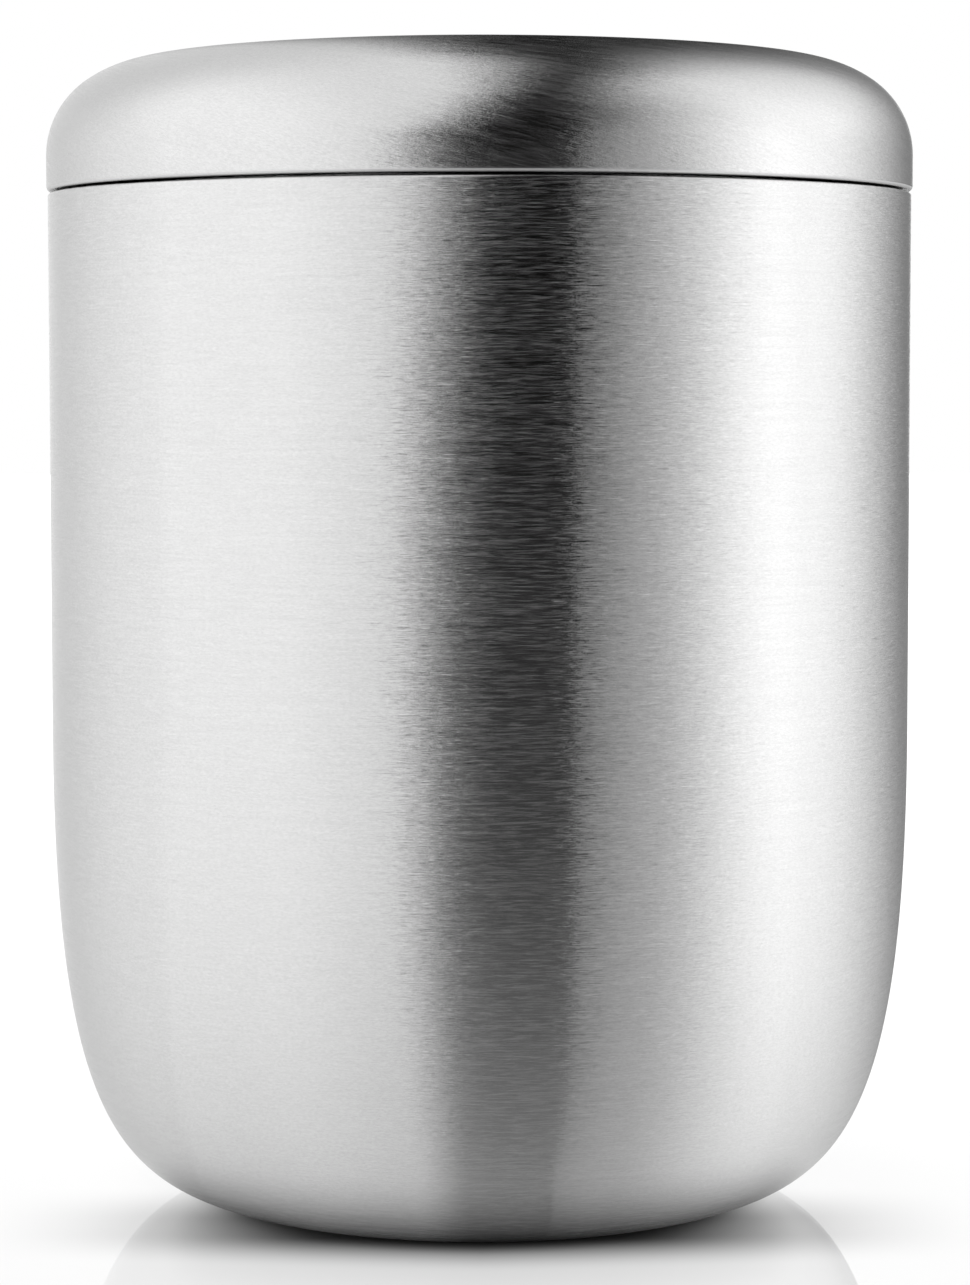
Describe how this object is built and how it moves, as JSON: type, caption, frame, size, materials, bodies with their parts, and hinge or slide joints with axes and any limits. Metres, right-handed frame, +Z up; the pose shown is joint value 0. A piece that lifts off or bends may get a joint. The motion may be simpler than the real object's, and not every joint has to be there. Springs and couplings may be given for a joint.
{
  "type": "insulated lunch box",
  "caption": "Double-walled brushed steel food jar with a rounded foot and a flush, domed screw lid that turns up and off.",
  "frame": {"origin": "on the jar's axis, in the plane it stands on", "axes": "+Z up along the jar's axis, which is also the lid's turning axis"},
  "size_m": [0.1062, 0.1062, 0.1422],
  "materials": {
    "shell_steel": "satin",
    "liner_steel": "satin",
    "cover_steel": "satin",
    "copper_foil": "gloss",
    "getter_alloy": "matte",
    "strap_steel": "satin",
    "sealing_glass": "gloss",
    "insert_plastic": "satin",
    "cap_plastic": "matte",
    "lid_foam": "matte",
    "gasket_silicone": "satin",
    "pad_silicone": "matte"
  },
  "bodies": {
    "jar": {"outer_shell": "shell_steel", "shell_base": "shell_steel", "seal_plug": "sealing_glass", "foot_pad": "pad_silicone", "inner_liner": "liner_steel", "radiation_foil": "copper_foil", "getter": "getter_alloy", "getter_strap": "strap_steel"},
    "gasket": {"lid_gasket": "gasket_silicone"},
    "lid": {"lid_cover": "cover_steel", "lid_cap": "cap_plastic", "lid_insulation": "lid_foam", "lid_insert": "insert_plastic"}
  },
  "joints": [
    {"name": "lid_rise", "type": "slide", "parent": "jar", "child": "gasket", "axis": [0, 0, 1], "range_m": [0, 0.048]},
    {"name": "lid_turn", "type": "hinge", "parent": "gasket", "child": "lid", "pos_m": [0, 0, 0.124], "axis": [0, 0, 1], "range_deg": [0, 1440]}
  ],
  "couplings": [
    {"joint": "lid_rise", "follows": "lid_turn", "m_per_rad": 0.0019099}
  ]
}
